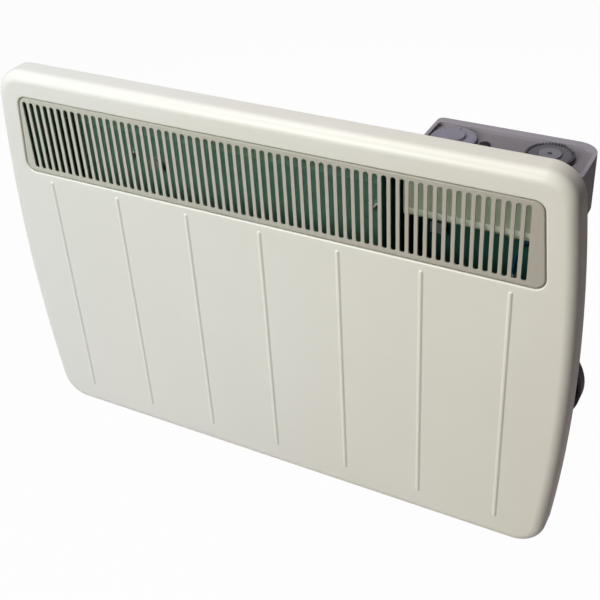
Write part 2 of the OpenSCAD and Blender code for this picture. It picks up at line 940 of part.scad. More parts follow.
module cable_gland() {
    color([0.3, 0.29, 0.3])
        translate([gland_x, gland_y, housing_z0])
            difference() {
                union() {
                    translate([0, 0, -gland_l])
                        cylinder(h = gland_l - 3, r1 = gland_r - 1.5, r2 = gland_r + 0.5);
                    translate([0, 0, -3 - skin])
                        cylinder(h = 3 + skin, r = gland_r + 3);
                    cylinder(h = housing_t + 6, r = gland_r);
                }
                translate([0, 0, -gland_l - cut])
                    cylinder(h = gland_l + housing_t + 6 + 2 * cut, r = gland_bore_r);
            }
}

module gland_nut() {
    color([0.35, 0.34, 0.35])
        translate([gland_x, gland_y, housing_z0 + housing_t])
            difference() {
                cylinder(h = 4, r = gland_r + 3.5, $fn = 6);
                translate([0, 0, -cut])
                    cylinder(h = 4 + 2 * cut, r = gland_r + face_gap);
            }
}

// Folded channel on the wall, with a hook at its head that the back panel hangs on
module bracket_upright(x) {
    x0 = x - upright_w / 2;
    front = tray_y + face_gap;
    cap_z = hook_z - 20;
    difference() {
        union() {
            translate([x0, -bracket_t, -upright_half])
                cube([upright_w, bracket_t, 2 * upright_half]);
            for (dx = [0, upright_w - bracket_t])
                translate([x0 + dx, front, -upright_half])
                    cube([bracket_t, -front, 2 * upright_half]);
            translate([x0, front, cap_z])
                cube([upright_w, bracket_t, upright_half - cap_z]);
            translate([x - hook_w / 2, tray_in_y - hook_reach, hook_z])
                cube([hook_w, hook_reach + sheet_t + bracket_t, bracket_t]);
            translate([x - hook_w / 2, tray_in_y - hook_reach, hook_z])
                cube([hook_w, bracket_t, hook_up]);
        }
        for (s = [-1, 1])
            translate([x, 0, s * bracket_hole_h / 2])
                along_y(-bracket_t - cut, cut)
                    circle(bracket_hole_r);
        translate([x, 0, bracket_hole_h / 2])
            along_y(front - cut, front + bracket_t + cut)
                circle(3 * bracket_hole_r / 2);
    }
}

module bracket_upright_left() {
    color([0.5, 0.52, 0.5])
        bracket_upright(-upright_x);
}

module bracket_upright_right() {
    color([0.5, 0.52, 0.5])
        bracket_upright(upright_x);
}

module bracket_rail(z) {
    l = bracket_w - upright_w;
    translate([-l / 2, -bracket_t, z - rail_h / 2])
        cube([l, bracket_t, rail_h]);
}

module bracket_rail_top() {
    color([0.5, 0.52, 0.5])
        bracket_rail(rail_z);
}

module bracket_rail_bottom() {
    color([0.5, 0.52, 0.5])
        bracket_rail(-rail_z);
}

// Rounded moulded feet that hold the heater off the wall, each with a dished edge
module wall_spacers() {
    inner_x = tray_x - 24;
    color([0.3, 0.27, 0.28])
        for (s = [0, 1])
            mirror([s, 0, 0])
                translate([0, 0, spacer_mid_z])
                    difference() {
                        union() {
                            along_y(tray_y, 0)
                                spacer_part(spacer_r, inner_x, tray_x);
                            along_y(-spacer_d, 0)
                                spacer_part(spacer_r, inner_x, half_w);
                        }
                        along_y(-spacer_d - cut, -spacer_t)
                            spacer_part(spacer_r - spacer_t, tray_x + fit_gap, half_w);
                    }
}

// Slice of a spacer's disc between two distances from the middle
module spacer_part(r, x0, x1) {
    intersection() {
        translate([spacer_x, 0])
            circle(r);
        translate([x0, -r])
            square([x1 - x0, 2 * r]);
    }
}

module casing_screws() {
    color([0.6, 0.6, 0.58])
        for (p = screw_xz)
            translate([p[0], rear_y, p[1]])
                rotate([-90, 0, 0]) {
                    cylinder(h = screw_head_h, r1 = screw_head_r, r2 = screw_head_r - 0.8);
                    translate([0, 0, -casing_t - sheet_t - 3])
                        cylinder(h = casing_t + sheet_t + 3 + skin, r = screw_r);
                }
}

module housing_screws() {
    color([0.6, 0.6, 0.58])
        for (x = housing_screw_x)
            translate([x, housing_screw_y, housing_z0 - sheet_t]) {
                translate([0, 0, -screw_head_h])
                    cylinder(h = screw_head_h, r1 = screw_head_r - 0.8, r2 = screw_head_r);
                translate([0, 0, -skin])
                    cylinder(h = sheet_t + housing_t + 3, r = screw_r);
            }
}

front_casing();
outlet_grille();
back_panel();
inlet_guard();
heat_shield();
outlet_deflector();
control_bay_shield();
element_sheath();
element_fins();
element_bracket_left();
element_bracket_right();
element_bushes();
element_hangers();
thermal_cutout();
terminal_block();
earth_stud();
wire_neutral();
wire_element();
wire_live();
wire_earth();
control_housing();
control_panel();
thermostat_body();
thermostat_dial();
thermostat_spindle();
timer_body();
timer_dial();
timer_spindle();
timer_tappets();
push_button();
button_switch();
cable_gland();
gland_nut();
bracket_upright_left();
bracket_upright_right();
bracket_rail_top();
bracket_rail_bottom();
wall_spacers();
casing_screws();
housing_screws();
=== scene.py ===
import math
import bmesh
import bpy
from mathutils import Matrix, Vector


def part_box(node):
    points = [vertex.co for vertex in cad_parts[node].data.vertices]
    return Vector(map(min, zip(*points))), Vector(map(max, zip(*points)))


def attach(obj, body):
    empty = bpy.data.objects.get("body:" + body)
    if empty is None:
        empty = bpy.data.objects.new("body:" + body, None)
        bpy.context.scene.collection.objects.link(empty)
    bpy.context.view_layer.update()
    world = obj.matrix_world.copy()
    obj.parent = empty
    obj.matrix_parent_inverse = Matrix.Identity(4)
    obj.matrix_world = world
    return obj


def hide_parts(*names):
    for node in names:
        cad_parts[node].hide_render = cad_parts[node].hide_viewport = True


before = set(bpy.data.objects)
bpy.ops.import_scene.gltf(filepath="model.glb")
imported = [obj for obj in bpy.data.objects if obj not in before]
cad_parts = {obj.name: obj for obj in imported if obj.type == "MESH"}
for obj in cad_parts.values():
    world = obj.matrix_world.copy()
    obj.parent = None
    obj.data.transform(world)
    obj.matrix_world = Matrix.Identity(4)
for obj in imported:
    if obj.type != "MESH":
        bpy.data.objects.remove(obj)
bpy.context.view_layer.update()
MM = 0.001


# Camera and studio. The heater hangs on a wall, so the pale floor lies well below it. The camera
# stands where the photograph was taken from, high on the heater's right, and looks down at it.
CAMERA_AT = Vector((473.34, -859.95, 644.29)) * MM
CAMERA_LOOK = Vector((-0.4057, 0.70535, -0.58128))
CAMERA_UP = Vector((-0.23352, 0.53487, 0.81202))
CAMERA_LENS = 64.862
CAMERA_FILM = 36
WHITE = (1, 1, 1, 1)
FILL = (1.0, 0.84, 0.88, 1.0)
FILL_STRENGTH = 0.035
GLOSS_STRENGTH = 0.22
FLOOR_Z = -0.85
FLOOR_SIZE = 30.0
FLOOR_GLOW = 0.97

camera = bpy.data.objects.new("camera", bpy.data.cameras.new("camera"))
bpy.context.scene.collection.objects.link(camera)
camera.data.lens = CAMERA_LENS
camera.data.sensor_width = CAMERA_FILM
back = -CAMERA_LOOK.normalized()
right = CAMERA_UP.cross(back).normalized()
up = back.cross(right)
camera.matrix_world = Matrix.Translation(CAMERA_AT) @ Matrix((right, up, back)).transposed().to_4x4()
bpy.context.scene.camera = camera


def linear(red, green, blue):
    """A colour given in 0 to 255 display steps, as linear light with alpha."""
    steps = [c / 255 for c in (red, green, blue)]
    return tuple(c / 12.92 if c <= 0.04045 else ((c + 0.055) / 1.055) ** 2.4 for c in steps) + (1.0,)


class Signal:
    """A shader socket that takes part in Python arithmetic."""

    def __init__(self, finish, socket):
        self.finish = finish
        self.socket = socket

    def math(self, operation, *values):
        return self.finish.node("ShaderNodeMath", {"operation": operation}, *values)

    def __add__(self, other):
        return self.math("ADD", self, other)

    def __sub__(self, other):
        return self.math("SUBTRACT", self, other)

    def __rsub__(self, other):
        return self.math("SUBTRACT", other, self)

    def __mul__(self, other):
        return self.math("MULTIPLY", self, other)

    __radd__ = __add__
    __rmul__ = __mul__


class Finish:
    """The nodes of one material, or of the world, as they are put together."""

    def __init__(self, owner):
        self.owner = owner
        owner.use_nodes = True
        self.tree = owner.node_tree
        self.tree.nodes.clear()

    def node(self, kind, settings, *values, out=None, **named):
        """Adds a node. Its open sockets take values or links, in order or by name."""
        made = self.tree.nodes.new(kind)
        for key, setting in settings.items():
            setattr(made, key, setting)
        sockets = [socket for socket in made.inputs if socket.enabled]
        by_name = {socket.name.replace(" ", "_"): socket for socket in sockets}
        wanted = list(zip(sockets, values)) + [(by_name[key], value) for key, value in named.items()]
        for socket, value in wanted:
            if isinstance(value, Signal):
                self.tree.links.new(value.socket, socket)
            else:
                socket.default_value = value
        given = {socket.name: socket for socket in made.outputs if socket.enabled}
        return Signal(self, given[out or list(given)[0]]) if given else None

    def place(self):
        return self.node("ShaderNodeTexCoord", {}, out="Object")

    def noise(self, scale, detail=2.0, stretch=(1, 1, 1)):
        spot = self.node("ShaderNodeMapping", {}, Vector=self.place(), Scale=stretch)
        return self.node("ShaderNodeTexNoise", {}, Vector=spot, Scale=scale, Detail=detail)

    def ramp(self, value, low, high):
        """Takes a value from 0 at its low end to 1 at its high end."""
        return self.node("ShaderNodeMapRange", {}, value, low, high)

    def blend(self, share, one, other):
        """Mixes two colours."""
        return self.node("ShaderNodeMix", {"data_type": "RGBA"}, share, one, other)

    def bump(self, height, strength, distance):
        return self.node("ShaderNodeBump", {}, Strength=strength, Distance=distance, Height=height)

    def surface(self, colour, roughness, normal, metallic=0.0, **steady):
        """Ends the material in one Principled shader."""
        shade = self.node(
            "ShaderNodeBsdfPrincipled", {}, Base_Color=colour, Roughness=roughness, Normal=normal,
            Metallic=metallic, **steady,
        )
        self.node("ShaderNodeOutputMaterial", {}, shade)
        return self.owner


def new_finish(name):
    return Finish(bpy.data.materials.new(name))


def world_light():
    """A weak even light, from a background that the camera sees white and gloss sees dimmer."""
    sky = bpy.data.worlds.new("studio")
    bpy.context.scene.world = sky
    finish = Finish(sky)
    seen, gloss, through = [
        finish.node("ShaderNodeLightPath", {}, out=name)
        for name in ("Is Camera Ray", "Is Glossy Ray", "Is Transmission Ray")
    ]
    fill = finish.node("ShaderNodeBackground", {}, FILL, FILL_STRENGTH)
    dimmer = finish.node("ShaderNodeBackground", {}, WHITE, GLOSS_STRENGTH)
    plain = finish.node("ShaderNodeBackground", {}, WHITE, 1.0)
    lit = finish.node("ShaderNodeMixShader", {}, gloss, fill, dimmer)
    whole = finish.node("ShaderNodeMixShader", {}, seen + through, lit, plain)
    finish.node("ShaderNodeOutputWorld", {}, whole)


def area_lamp(name, spot, target, size, power, colour):
    """A round soft lamp that faces a point."""
    data = bpy.data.lights.new(name, "AREA")
    data.shape = "DISK"
    data.size = size
    data.energy = power
    data.color = colour
    lamp = bpy.data.objects.new(name, data)
    bpy.context.scene.collection.objects.link(lamp)
    lamp.location = spot
    lamp.rotation_euler = (Vector(spot) - Vector(target)).to_track_quat("Z", "Y").to_euler()
    return lamp


def floor_finish():
    """Dull pale floor that takes the heater's light and shade, and that the camera sees near white."""
    finish = new_finish("floor")
    seen = finish.node("ShaderNodeLightPath", {}, out="Is Camera Ray")
    dull = finish.node("ShaderNodeBsdfDiffuse", {}, linear(216, 207, 209))
    glow = finish.node("ShaderNodeEmission", {}, WHITE, 1.0)
    shade = finish.node("ShaderNodeMixShader", {}, seen * FLOOR_GLOW, dull, glow)
    finish.node("ShaderNodeOutputMaterial", {}, shade)
    return finish.owner


world_light()
area_lamp(
    "key", spot=(-0.95, -2.3, 1.35), target=(-0.05, -0.05, 0.0), size=1.1, power=57,
    colour=(0.968, 1.0, 0.99),
)
area_lamp(
    "top", spot=(-0.6, -0.4, 2.4), target=(0.0, -0.05, 0.1), size=1.5, power=39,
    colour=(0.955, 0.915, 1.0),
)
rear_lamp = area_lamp(
    "rear", spot=(-0.7, 2.4, 0.5), target=(0.0, 0.0, 0.0), size=1.2, power=24, colour=(0.98, 1.0, 0.99),
)
rear_lamp.visible_glossy = False

bm = bmesh.new()
bmesh.ops.create_grid(bm, x_segments=1, y_segments=1, size=FLOOR_SIZE / 2)
bmesh.ops.translate(bm, vec=(0, 0, FLOOR_Z), verts=bm.verts)
floor_mesh = bpy.data.meshes.new("floor")
bm.to_mesh(floor_mesh)
bm.free()
floor = bpy.data.objects.new("floor", floor_mesh)
bpy.context.scene.collection.objects.link(floor)
floor_mesh.materials.append(floor_finish())


# Front casing. One pressing of 1.2 mm steel makes the face, top, sides and underside. Its sides bow
# out, its front edge rolls over, and it has seven ribs and a rolled opening for the grille.
SIDE_BOW = 13.8 * MM
SIDE_STEPS = 16
CORNER_R = 32 * MM
CORNER_STEPS = 20
EDGE_R = 11.5 * MM
EDGE_STEPS = 14
STEEL_T = 1.2 * MM
LIP_W = 12 * MM
FOLD_R = 1.0 * MM
ROUND_MIDDLE = 0.3  # where a small round passes its middle, as a share of its radius
RIB_N = 7
RIB_PITCH = 84.1 * MM
RIB_W = 5.6 * MM
RIB_PROUD = 1.2 * MM
RIB_FOOT = 29 * MM
RIB_HEAD = 7 * MM
RIB_ROUND = ((0, 0), (0.14, 0.05), (0.32, 0.3), (0.5, 0.66), (0.68, 0.9), (0.86, 1.0))  # drawn in, risen
GRILLE_SIDE = 26.5 * MM
GRILLE_TOP = 26 * MM
GRILLE_H = 87 * MM
GRILLE_R = 11 * MM
GRILLE_STEPS = 12
MOUTH_ROLL = 1.7 * MM
MOUTH_TURNS = (90, 67, 45, 22, 0)
MOUTH_DEPTH = 2.6 * MM
SMOOTH_ANGLE = 35
PAINTED_SHADE_RUN = 300 * MM

casing_low, casing_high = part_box("front_casing")
HALF_W = casing_high.x
HALF_H = casing_high.z
FRONT_Y = casing_low.y + RIB_PROUD
REAR_Y = casing_high.y
GRILLE_Z = HALF_H - GRILLE_TOP - GRILLE_H / 2
BOW_R = (HALF_H ** 2 + SIDE_BOW ** 2) / (2 * SIDE_BOW)


def arc(centre, radius, start, end, steps):
    """Points on an arc, in degrees, as (across, up) pairs."""
    turns = [math.radians(start + (end - start) * k / steps) for k in range(steps + 1)]
    return [(centre[0] + radius * math.cos(a), centre[1] + radius * math.sin(a)) for a in turns]


def rolled(radius, turns):
    """How far a quarter roll lies from its two sides, turn by turn in degrees."""
    angles = [math.radians(turn) for turn in turns]
    return [(radius * (1 - math.cos(a)), radius * (1 - math.sin(a))) for a in angles]


def mirrored(quarter):
    """A closed outline from its upper right quarter, which starts on the across axis."""
    top = quarter + [(-x, z) for x, z in reversed(quarter)]
    return top + [(x, -z) for x, z in reversed(top[1:-1])]


def casing_outline(inset):
    """The casing's front outline, drawn in by an inset."""
    bow_x = HALF_W - BOW_R
    corner_z = HALF_H - CORNER_R
    turn = math.degrees(math.asin(corner_z / (BOW_R - CORNER_R)))
    corner_x = bow_x + math.sqrt((BOW_R - CORNER_R) ** 2 - corner_z ** 2)
    side = arc((bow_x, 0), BOW_R - inset, 0, turn, SIDE_STEPS)[:-1]
    return mirrored(side + arc((corner_x, corner_z), CORNER_R - inset, turn, 90, CORNER_STEPS))


def grille_outline(inset):
    """The opening's outline, whose ends lean with the casing's bowed sides."""
    low, high = GRILLE_Z - GRILLE_H / 2, GRILLE_Z + GRILLE_H / 2
    ends = [HALF_W - BOW_R + math.sqrt(BOW_R ** 2 - z * z) - GRILLE_SIDE for z in (low, high)]
    lean = math.atan((ends[0] - ends[1]) / GRILLE_H)
    inward = GRILLE_R / math.cos(lean)
    slip = GRILLE_R * math.tan(lean)
    turn = math.degrees(lean)
    lower = arc((ends[0] - slip - inward, low + GRILLE_R), GRILLE_R - inset, -90, turn, GRILLE_STEPS)
    upper = arc((ends[1] + slip - inward, high - GRILLE_R), GRILLE_R - inset, turn, 90, GRILLE_STEPS)
    side = lower + upper
    return side + [(-x, z) for x, z in reversed(side)]


def slot_outline(width, length, steps=8):
    """An upright slot with round ends."""
    half = arc((0, (length - width) / 2), width / 2, 0, 180, steps)
    return half + [(-x, -z) for x, z in half]


def ring(bm, outline, y, at=(0, 0)):
    """A closed loop of edges at one depth."""
    verts = [bm.verts.new((x + at[0], y, z + at[1])) for x, z in outline]
    return [bm.edges.new((a, b)) for a, b in zip(verts, verts[1:] + verts[:1])]


def loft(bm, rings):
    """Bridges each loop to the next and gives back the first and the last."""
    for one, other in zip(rings, rings[1:]):
        bmesh.ops.bridge_loops(bm, edges=one + other)
    return rings[0], rings[-1]


def make_piece(name, bm, finish, body, node=None):
    """Turns a bmesh into a piece of the object that rides on a body."""
    bmesh.ops.recalc_face_normals(bm, faces=bm.faces)
    mesh = bpy.data.meshes.new(name)
    bm.to_mesh(mesh)
    bm.free()
    mesh.polygons.foreach_set("use_smooth", [True] * len(mesh.polygons))
    mesh.set_sharp_from_angle(angle=math.radians(SMOOTH_ANGLE))
    mesh.materials.append(finish)
    piece = bpy.data.objects.new(name, mesh)
    bpy.context.scene.collection.objects.link(piece)
    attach(piece, body)
    if node:
        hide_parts(node)
    return piece


def thicken(piece, thickness, offset):
    """Gives a sheet its thickness."""
    wall = piece.modifiers.new("steel", "SOLIDIFY")
    wall.thickness = thickness
    wall.offset = offset


def even_normals(piece):
    """Keeps flat faces flat in shading where they meet a rounded edge."""
    weigh = piece.modifiers.new("normals", "WEIGHTED_NORMAL")
    weigh.keep_sharp = True


def along(finish, left, right):
    """Painted shade: runs from one colour at the heater's left end to another at its right end, as light
    falls off.
    """
    across = finish.node("ShaderNodeSeparateXYZ", {}, finish.place(), out="X")
    return finish.blend(finish.ramp(across, -PAINTED_SHADE_RUN, PAINTED_SHADE_RUN), left, right)


def powder_coat():
    """Pale paint with a faint peel, and painted shade that makes it a little yellower and darker towards the
    heater's right end.
    """
    finish = new_finish("casing_paint")
    peel = finish.noise(scale=700)
    cloud = finish.noise(scale=3.0, detail=3.0)
    colour = finish.blend(
        finish.ramp(cloud, low=0.35, high=0.65),
        along(finish, linear(226, 228, 219), linear(225, 222, 205)),
        along(finish, linear(230, 232, 224), linear(229, 226, 210)),
    )
    return finish.surface(
        colour, 0.42 + cloud * 0.06, finish.bump(peel, strength=0.06, distance=0.2 * MM), IOR=1.45,
        Coat_Weight=0.12, Coat_Roughness=0.3,
    )


def rib_rings(bm, x):
    """One pressed rib: a long loop on the face, drawn in as it rises."""
    foot_z = -HALF_H + RIB_FOOT
    head_z = GRILLE_Z - GRILLE_H / 2 - RIB_HEAD
    at = (x, (foot_z + head_z) / 2)
    length = head_z - foot_z
    rings = []
    for share, rise in RIB_ROUND:
        trim = share * RIB_W
        outline = slot_outline(RIB_W - trim, length - trim, steps=6)
        rings.append(ring(bm, outline, FRONT_Y - rise * RIB_PROUD, at))
    foot, crest = loft(bm, rings)
    bmesh.ops.edgeloop_fill(bm, edges=crest)
    return foot


def build_casing():
    """The pressing's outer skin, before it has its thickness."""
    bm = bmesh.new()
    rings = [
        ring(bm, casing_outline(LIP_W), REAR_Y),
        ring(bm, casing_outline(FOLD_R), REAR_Y),
        ring(bm, casing_outline(FOLD_R * ROUND_MIDDLE), REAR_Y - FOLD_R * ROUND_MIDDLE),
        ring(bm, casing_outline(0), REAR_Y - FOLD_R),
    ]
    for inset, depth in rolled(EDGE_R, [90 * k / EDGE_STEPS for k in range(EDGE_STEPS + 1)]):
        rings.append(ring(bm, casing_outline(inset), FRONT_Y + depth))
    _, face_rim = loft(bm, rings)
    mouth = [
        ring(bm, grille_outline(-inset), FRONT_Y + depth) for inset, depth in rolled(MOUTH_ROLL, MOUTH_TURNS)
    ]
    mouth.append(ring(bm, grille_outline(0), FRONT_Y + MOUTH_DEPTH))
    mouth_rim, _ = loft(bm, mouth)
    feet = [rib_rings(bm, (k - (RIB_N - 1) / 2) * RIB_PITCH) for k in range(RIB_N)]
    flat = face_rim + mouth_rim + [edge for foot in feet for edge in foot]
    bmesh.ops.triangle_fill(bm, edges=flat, use_beauty=True)
    return bm


casing = make_piece("casing_shell", build_casing(), powder_coat(), "heater", "front_casing")
thicken(casing, STEEL_T, -1)
even_normals(casing)


# Outlet grille. A punched steel plate in matt grey-beige paint, set into the casing's opening from
# behind. Its edge rolls back to a flange, and its 62 slots have slightly rounded rims.
SLOT_N = 62
SLOT_PITCH = 8.7 * MM
SLOT_W = 4.9 * MM
SLOT_L = 75.4 * MM
SLOT_SHIFT = 3 * MM
SLOT_RIM = 0.4 * MM
GRILLE_GAP = 1.0 * MM
GRILLE_RECESS = 0.8 * MM
GRILLE_ROLL = 1.6 * MM
GRILLE_TURNS = (90, 68, 45, 22, 0)
GRILLE_T = 1.5 * MM
FLANGE_DEPTH = 3.0 * MM
FLANGE_T = 1.0 * MM
FLANGE_W = 8 * MM


def grille_paint():
    """Matt paint with a fine grain, and painted shade that makes it darker and browner towards the heater's
    right end, as on the casing.
    """
    finish = new_finish("grille_paint")
    grain = finish.noise(scale=1500)
    cloud = finish.noise(scale=5.0)
    colour = finish.blend(
        cloud,
        along(finish, linear(191, 192, 178), linear(173, 167, 151)),
        along(finish, linear(199, 200, 186), linear(181, 175, 159)),
    )
    return finish.surface(colour, 0.36 + grain * 0.08, finish.bump(grain, strength=0.1, distance=0.1 * MM))


def build_grille():
    """The plate's two faces, its rolled edge, its flange and the walls of its slots."""
    bm = bmesh.new()
    face_y = FRONT_Y + GRILLE_RECESS
    flange_y = FRONT_Y + FLANGE_DEPTH
    inner = GRILLE_GAP + GRILLE_T
    rings = [
        ring(bm, grille_outline(GRILLE_GAP + inset), face_y + depth)
        for inset, depth in rolled(GRILLE_ROLL, GRILLE_TURNS)
    ]
    rings += [ring(bm, grille_outline(inset), flange_y) for inset in (GRILLE_GAP, -FLANGE_W)]
    front, flange_front = loft(bm, rings)
    rings = [ring(bm, grille_outline(inner), face_y + GRILLE_T)]
    rings += [ring(bm, grille_outline(inset), flange_y + FLANGE_T) for inset in (inner, -FLANGE_W)]
    rear, flange_rear = loft(bm, rings)
    loft(bm, [flange_front, flange_rear])
    front, rear = list(front), list(rear)
    rim_middle = SLOT_RIM * ROUND_MIDDLE
    slot_wall = ((SLOT_RIM, 0), (rim_middle, rim_middle), (0, SLOT_RIM), (0, GRILLE_T))
    for k in range(SLOT_N):
        at = ((k - (SLOT_N - 1) / 2) * SLOT_PITCH - SLOT_SHIFT, GRILLE_Z)
        one, other = loft(bm, [
            ring(bm, slot_outline(SLOT_W + 2 * grow, SLOT_L + 2 * grow), face_y + depth, at)
            for grow, depth in slot_wall
        ])
        front += one
        rear += other
    bmesh.ops.triangle_fill(bm, edges=front, use_beauty=True)
    bmesh.ops.triangle_fill(bm, edges=rear, use_beauty=True)
    return bm


grille = make_piece("grille_plate", build_grille(), grille_paint(), "heater", "outlet_grille")
even_normals(grille)


# Sheet metal behind the casing. The tray, its inlet guard, the heat shield, the outlet deflector, the
# shield of the control bay, the element's brackets and the wall bracket are folded from zinc coated steel.
TRAY_CENTRE = (0, -90 * MM, 0)
TINT_EDGE = 4 * MM
ZINC_DARK = linear(138, 146, 142)
ZINC_PALE = linear(168, 176, 172)
PASSIVATED = (linear(98, 144, 120), linear(126, 168, 144))


def dress(finish, *names):
    """Gives a finish to CAD nodes."""
    for name in names:
        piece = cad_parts[name]
        piece.data.materials.clear()
        piece.data.materials.append(finish)


def soften(width, *names, angle=40):
    """Rounds the edges of CAD nodes, whose own vertices stay where they are."""
    for name in names:
        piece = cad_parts[name]
        piece.data.polygons.foreach_set("use_smooth", [True] * len(piece.data.polygons))
        weld = piece.modifiers.new("weld", "WELD")
        weld.merge_threshold = 0.01 * MM
        edge = piece.modifiers.new("edge", "BEVEL")
        edge.width = width
        edge.segments = 2
        edge.limit_method = "ANGLE"
        edge.angle_limit = math.radians(angle)
        even_normals(piece)


def zinc_sheet(name, dark, pale, inner=None, metallic=0.3):
    """Zinc coat with the flat crystals that it sets in. The tray is tinted on the faces that look in."""
    finish = new_finish(name)
    cells = finish.node("ShaderNodeTexVoronoi", {}, Vector=finish.place(), Scale=95.0)
    rub = finish.noise(scale=14, detail=4.0)
    share = cells * 0.6 + rub * 0.5
    colour = finish.blend(share, dark, pale)
    if inner:
        normal = finish.node("ShaderNodeTexCoord", {}, out="Normal")
        away = finish.node("ShaderNodeVectorMath", {"operation": "SUBTRACT"}, finish.place(), TRAY_CENTRE)
        facing = finish.node("ShaderNodeVectorMath", {"operation": "DOT_PRODUCT"}, normal, away)
        looks_in = 1 - finish.ramp(facing, -TINT_EDGE, TINT_EDGE)
        colour = finish.blend(looks_in, colour, finish.blend(share, *inner))
    rough = 0.4 + finish.ramp(rub, low=0.3, high=0.8) * 0.2
    return finish.surface(colour, rough, finish.bump(cells, strength=0.05, distance=0.2 * MM), metallic)


dress(zinc_sheet("zinc_back", ZINC_DARK, ZINC_PALE, PASSIVATED), "back_panel")
dress(zinc_sheet("zinc_deflector", linear(128, 172, 146), linear(150, 190, 166)), "outlet_deflector")
dress(zinc_sheet("zinc_guard", ZINC_DARK, ZINC_PALE), "inlet_guard")
# Painted light: the bay shield's zinc is paler than the other sheets, lifted to read bright in the bay's
# shade.
zinc_pale = zinc_sheet("zinc_pale", linear(164, 176, 148), linear(190, 198, 172), metallic=0.1)
dress(zinc_pale, "control_bay_shield")
dress(zinc_sheet("zinc_shield", *PASSIVATED), "heat_shield")
wall_bracket = ("bracket_upright_left", "bracket_upright_right", "bracket_rail_top", "bracket_rail_bottom")
zinc_grey = zinc_sheet("zinc_grey", ZINC_DARK, ZINC_PALE)
dress(zinc_grey, "element_bracket_left", "element_bracket_right", *wall_bracket)
soften(0.4 * MM, *wall_bracket)


# Hem of the bay shield. The plate's lower edge is pressed into a raised bead that stiffens it, painted
# paler than the rest as a painted highlight, which shows as a pale line through the last slots.
HEM_W = 6 * MM
HEM_PROUD = 1.2 * MM
HEM_MARGIN = 2 * MM
HEM_UP = 1 * MM
HEM_ROUND = ((0, -0.1), (0.12, 0.3), (0.3, 0.75), (0.55, 1.0))  # drawn in, risen

shield_low, shield_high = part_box("control_bay_shield")
hem_at = ((shield_low.x + shield_high.x) / 2, shield_low.z + HEM_W / 2 + HEM_UP)
hem_l = shield_high.x - shield_low.x - 2 * HEM_MARGIN
bm = bmesh.new()
rings = []
for share, rise in HEM_ROUND:
    upright = slot_outline(HEM_W * (1 - share), hem_l - HEM_W * share)
    rings.append(ring(bm, [(z, x) for x, z in upright], shield_low.y - rise * HEM_PROUD, hem_at))
for rim in loft(bm, rings):
    bmesh.ops.edgeloop_fill(bm, edges=rim)
# Painted highlight: the bead's zinc is paler than the shield's.
zinc_hem = zinc_sheet("zinc_hem", linear(206, 216, 190), linear(226, 232, 210), metallic=0.1)
make_piece("bay_shield_hem", bm, zinc_hem, "heater")


# Partition of the control bay. An upright plate keeps the warm air off the controls, and its wide foot,
# spot welded to the tray, lines the bay. Both show dark through the slots: they lie in shade, and their
# zinc is painted darker than the other sheets as painted shade.
PARTITION_X = 127 * MM
PARTITION_T = 0.8 * MM
PARTITION_LOW = 62 * MM
PARTITION_STEP = 166 * MM
PARTITION_HIGH = 197 * MM
PARTITION_FRONT = -103.5 * MM
PARTITION_REAR = -41.45 * MM
STEP_Y = -84 * MM
LINER_X = 279 * MM
LINER_HIGH = 136 * MM
FOLD_SIZE = 1.5 * MM

bm = bmesh.new()
web = [
    (PARTITION_REAR, PARTITION_LOW), (PARTITION_REAR, LINER_HIGH), (PARTITION_REAR, PARTITION_STEP),
    (STEP_Y, PARTITION_STEP), (STEP_Y, PARTITION_HIGH), (PARTITION_FRONT, PARTITION_HIGH),
    (PARTITION_FRONT, PARTITION_LOW),
]
web_verts = [bm.verts.new((PARTITION_X, y, z)) for y, z in web]
bm.faces.new(web_verts)
fold = bm.edges.get(web_verts[:2])
drawn = bmesh.ops.extrude_edge_only(bm, edges=[fold])["geom"]
foot = [part for part in drawn if isinstance(part, bmesh.types.BMVert)]
bmesh.ops.translate(bm, vec=(LINER_X - PARTITION_X, 0, 0), verts=foot)
bmesh.ops.bevel(bm, geom=[fold], offset=FOLD_SIZE, segments=3, profile=0.5, affect="EDGES", material=-1)
# Painted shade: this zinc is darker than the other sheets.
zinc_partition = zinc_sheet("zinc_partition", linear(44, 96, 80), linear(58, 112, 96))
partition = make_piece("bay_partition", bm, zinc_partition, "heater")
thicken(partition, PARTITION_T, 0)
even_normals(partition)


# Heating element. A heat stained steel tube is bent to a hairpin, pressed aluminium fins are pushed on
# to it, and its cold ends stand in two glazed ceramic bushes.
LINE_STRETCH = (1, 1, 14)
BAND_STRETCH = (1, 6, 6)


def heat_stain():
    """Steel tube with bands of brown where it has run hot."""
    finish = new_finish("heater_sheath")
    band = finish.noise(scale=9, detail=3.0, stretch=BAND_STRETCH)
    colour = finish.blend(finish.ramp(band, low=0.3, high=0.7), linear(92, 84, 78), linear(140, 122, 104))
    skin = finish.bump(finish.noise(scale=500), strength=0.08, distance=0.2 * MM)
    return finish.surface(colour, 0.38 + band * 0.2, skin, metallic=0.85)


def pressed_metal(name, dark, pale, metallic, rough):
    """Metal with the fine lines that the tool left."""
    finish = new_finish(name)
    lines = finish.noise(scale=160, stretch=LINE_STRETCH)
    colour = finish.blend(finish.ramp(lines, low=0.3, high=0.7), dark, pale)
    skin = finish.bump(lines, strength=0.05, distance=0.2 * MM)
    return finish.surface(colour, rough + lines * 0.12, skin, metallic)


def glaze():
    """Off-white glaze with a few darker specks."""
    finish = new_finish("ceramic")
    speck = finish.noise(scale=900, detail=1.0)
    share = finish.ramp(speck, low=0.62, high=0.7)
    colour = finish.blend(share, linear(238, 233, 220), linear(206, 198, 182))
    skin = finish.bump(speck, strength=0.04, distance=0.2 * MM)
    return finish.surface(colour, 0.3 + speck * 0.1, skin, Coat_Weight=0.5)


dress(heat_stain(), "element_sheath")
fin_metal = pressed_metal("fin_metal", linear(190, 192, 195), linear(220, 222, 224), metallic=0.9, rough=0.3)
dress(fin_metal, "element_fins")
dress(glaze(), "element_bushes")


